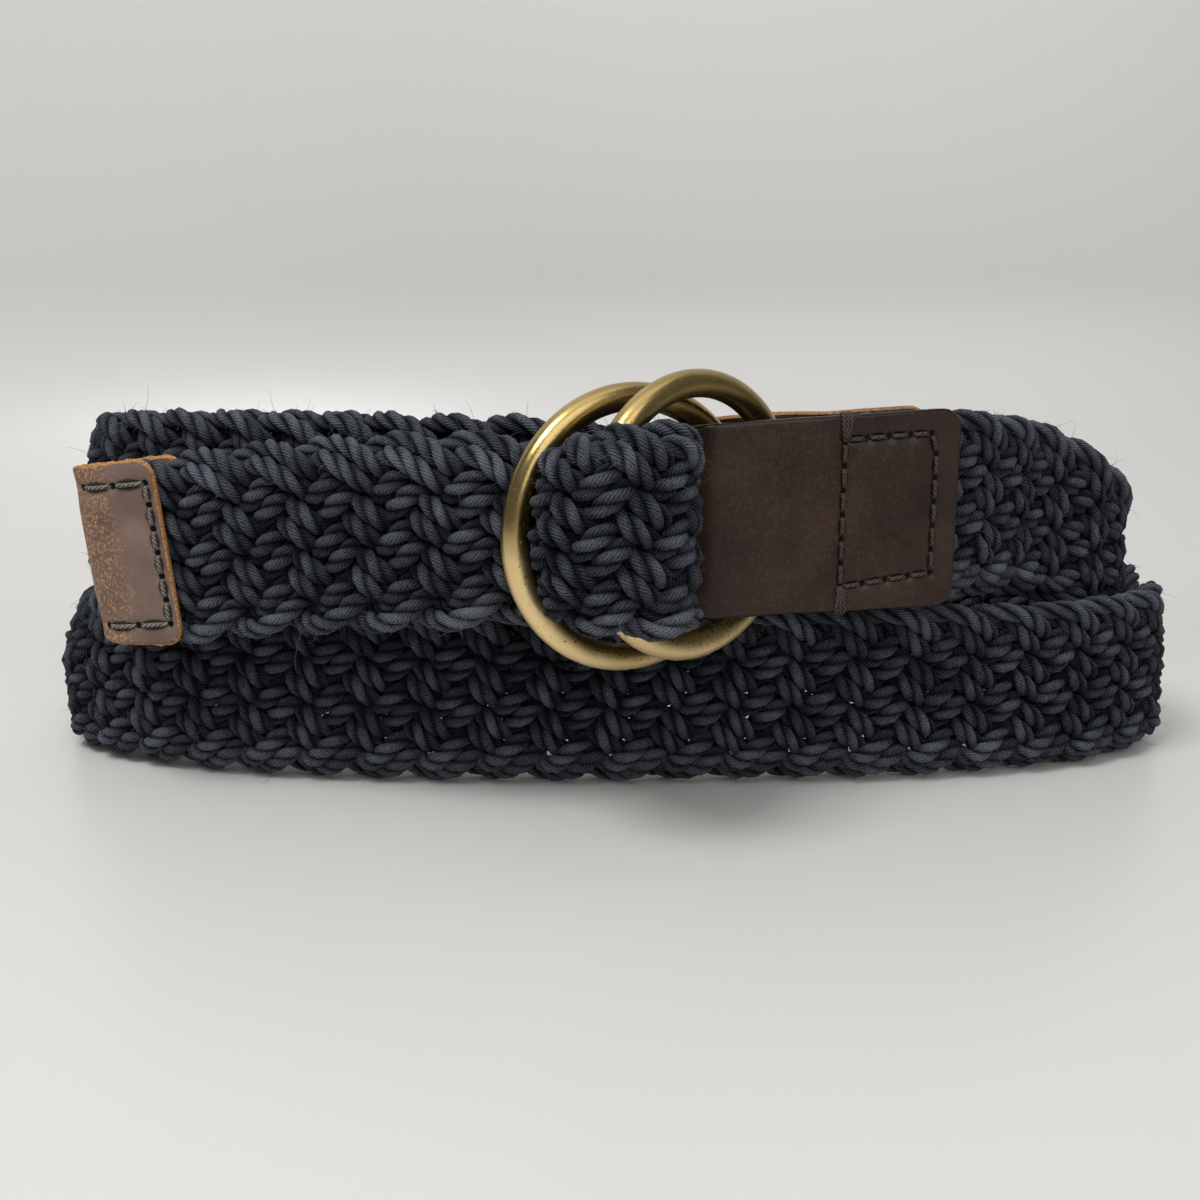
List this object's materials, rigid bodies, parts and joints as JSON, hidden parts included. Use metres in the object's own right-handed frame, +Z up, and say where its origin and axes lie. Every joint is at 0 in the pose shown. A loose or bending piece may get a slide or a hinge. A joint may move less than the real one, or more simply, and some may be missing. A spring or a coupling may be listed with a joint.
{
  "type": "braided ring belt",
  "caption": "Dark braided cotton belt with brown leather ends, fastened through its two brass rings and stood on edge as a coil of two turns",
  "frame": {"origin": "middle of the bounding box in plan, on the plane that the belt stands on", "axes": "X right along the coil, Y away from the viewer, Z up"},
  "size_m": [0.2246, 0.1082, 0.0756],
  "materials": {
    "cotton": "matte, dark blue-grey cord",
    "brass": "antique, worn and speckled",
    "dark_leather": "satin, raw cut edges",
    "pale_leather": "matte, worn at the fold"
  },
  "bodies": {
    "root": {"braided_strap": "cotton", "ring_outer": "brass", "ring_inner": "brass", "buckle_tab": "dark_leather", "tip_tab": "pale_leather"}
  },
  "joints": []
}
